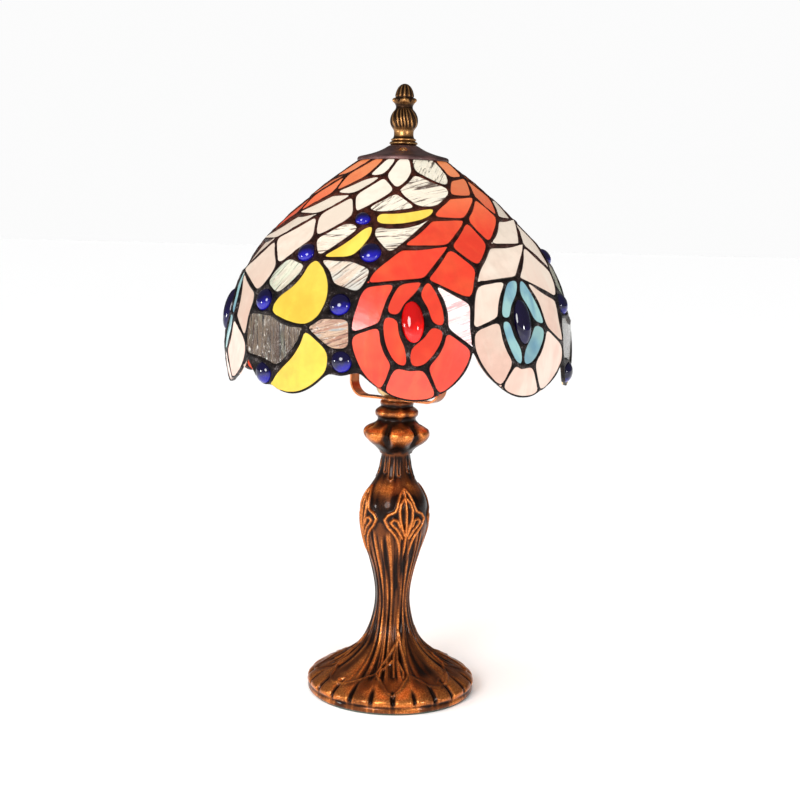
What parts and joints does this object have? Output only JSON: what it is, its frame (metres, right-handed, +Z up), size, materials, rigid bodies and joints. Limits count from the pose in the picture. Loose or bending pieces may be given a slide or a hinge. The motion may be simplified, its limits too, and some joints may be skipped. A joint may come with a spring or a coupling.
{
  "type": "stained glass table lamp",
  "caption": "Table lamp with a leaded glass dome in a pattern of curved feathers, crescents and set stones, on a harp above a cast bronze-finished vase base.",
  "frame": {"origin": "middle of the felt's underside, on the lamp's vertical axis", "axes": "+Z up, from the foot to the finial; -Y is the front, +X is to the right when looking at the front; the cord inlet is at the back, +Y"},
  "size_m": [0.2557, 0.256, 0.451],
  "materials": {
    "bronze_base": "antique copper-bronze with dark recesses",
    "copper_strip": "satin copper plating",
    "plated_brass": "brushed brass plating",
    "antique_brass": "antique brass, polished on the high spots",
    "cap_bronze": "dark purplish brown patina",
    "steel": "bright zinc plating",
    "felt": "dark green felt",
    "black_plastic": "moulded black phenolic",
    "card": "brown fibre card",
    "solder": "lumpy solder with dark patina",
    "red_glass": "opalescent",
    "white_glass": "opalescent, cream at the top and pinkish at the rim",
    "teal_glass": "opalescent with blue streaks",
    "yellow_glass": "opalescent with amber tips",
    "pink_ripple_glass": "rippled, pale pink",
    "beige_ripple_glass": "rippled, streaked beige and pink",
    "green_ripple_glass": "rippled, pale mint white",
    "brown_ripple_glass": "rippled, brown and clear streaks",
    "blue_stone": "pressed, glossy cobalt blue",
    "red_stone": "pressed, glossy red",
    "navy_stone": "pressed, glossy navy",
    "bulb_frost": "warm white, inside frosted",
    "lamp_cap": "bright",
    "filament": "clear glass stem with bright wires"
  },
  "bodies": {
    "base": {"base_casting": "bronze_base", "neck_collar": "bronze_base", "felt_pad": "felt", "lamp_pipe": "steel", "bottom_washer": "steel", "bottom_nut": "plated_brass", "cord_bushing": "black_plastic", "harp_saddle": "copper_strip", "harp_bow": "copper_strip", "socket_cap": "plated_brass", "socket_shell": "plated_brass", "socket_liner": "card", "switch_body": "black_plastic", "screw_shell": "plated_brass", "centre_contact": "plated_brass", "terminal_screws": "plated_brass"},
    "ferrule_left": {"harp_ferrule_left": "copper_strip"},
    "ferrule_right": {"harp_ferrule_right": "copper_strip"},
    "switch": {"switch_shaft": "plated_brass", "switch_knob": "black_plastic"},
    "bulb": {"bulb_glass": "bulb_frost", "bulb_screw_cap": "lamp_cap", "bulb_insulator": "black_plastic", "filament_mount": "filament"},
    "shade": {"harp_stud": "plated_brass", "shade_cap": "cap_bronze", "crown_ring": "antique_brass", "solder_network": "solder", "glass_red": "red_glass", "glass_white": "white_glass", "glass_teal": "teal_glass", "glass_yellow": "yellow_glass", "glass_pink_ripple": "pink_ripple_glass", "glass_beige_ripple": "beige_ripple_glass", "glass_green_ripple": "green_ripple_glass", "glass_brown_ripple": "brown_ripple_glass", "gems_blue": "blue_stone", "jewels_red": "red_stone", "jewels_navy": "navy_stone"},
    "finial_collar": {"finial_collar": "antique_brass"},
    "finial": {"finial": "antique_brass"}
  },
  "joints": [
    {"name": "switch_turn", "type": "hinge", "parent": "base", "child": "switch", "pos_m": [0, 0, 0.246], "axis": [0.5736, 0.8192, 0], "continuous": true},
    {"name": "bulb_lift", "type": "slide", "parent": "base", "child": "bulb", "axis": [0, 0, 1], "range_m": [0, 0.026]},
    {"name": "ferrule_left_slide", "type": "slide", "parent": "base", "child": "ferrule_left", "axis": [0, 0, 1], "range_m": [0, 0.012]},
    {"name": "ferrule_right_slide", "type": "slide", "parent": "base", "child": "ferrule_right", "axis": [0, 0, 1], "range_m": [0, 0.012]},
    {"name": "shade_turn", "type": "hinge", "parent": "base", "child": "shade", "pos_m": [0, 0, 0.4], "axis": [0, 0, 1], "continuous": true},
    {"name": "finial_rise", "type": "slide", "parent": "shade", "child": "finial_collar", "axis": [0, 0, 1], "range_m": [0, 0.00376]},
    {"name": "finial_turn", "type": "hinge", "parent": "finial_collar", "child": "finial", "pos_m": [0, 0, 0.42], "axis": [0, 0, 1], "range_deg": [0, 1440]}
  ],
  "couplings": [
    {"joint": "finial_turn", "follows": "finial_rise", "rad_per_m": 6679}
  ]
}
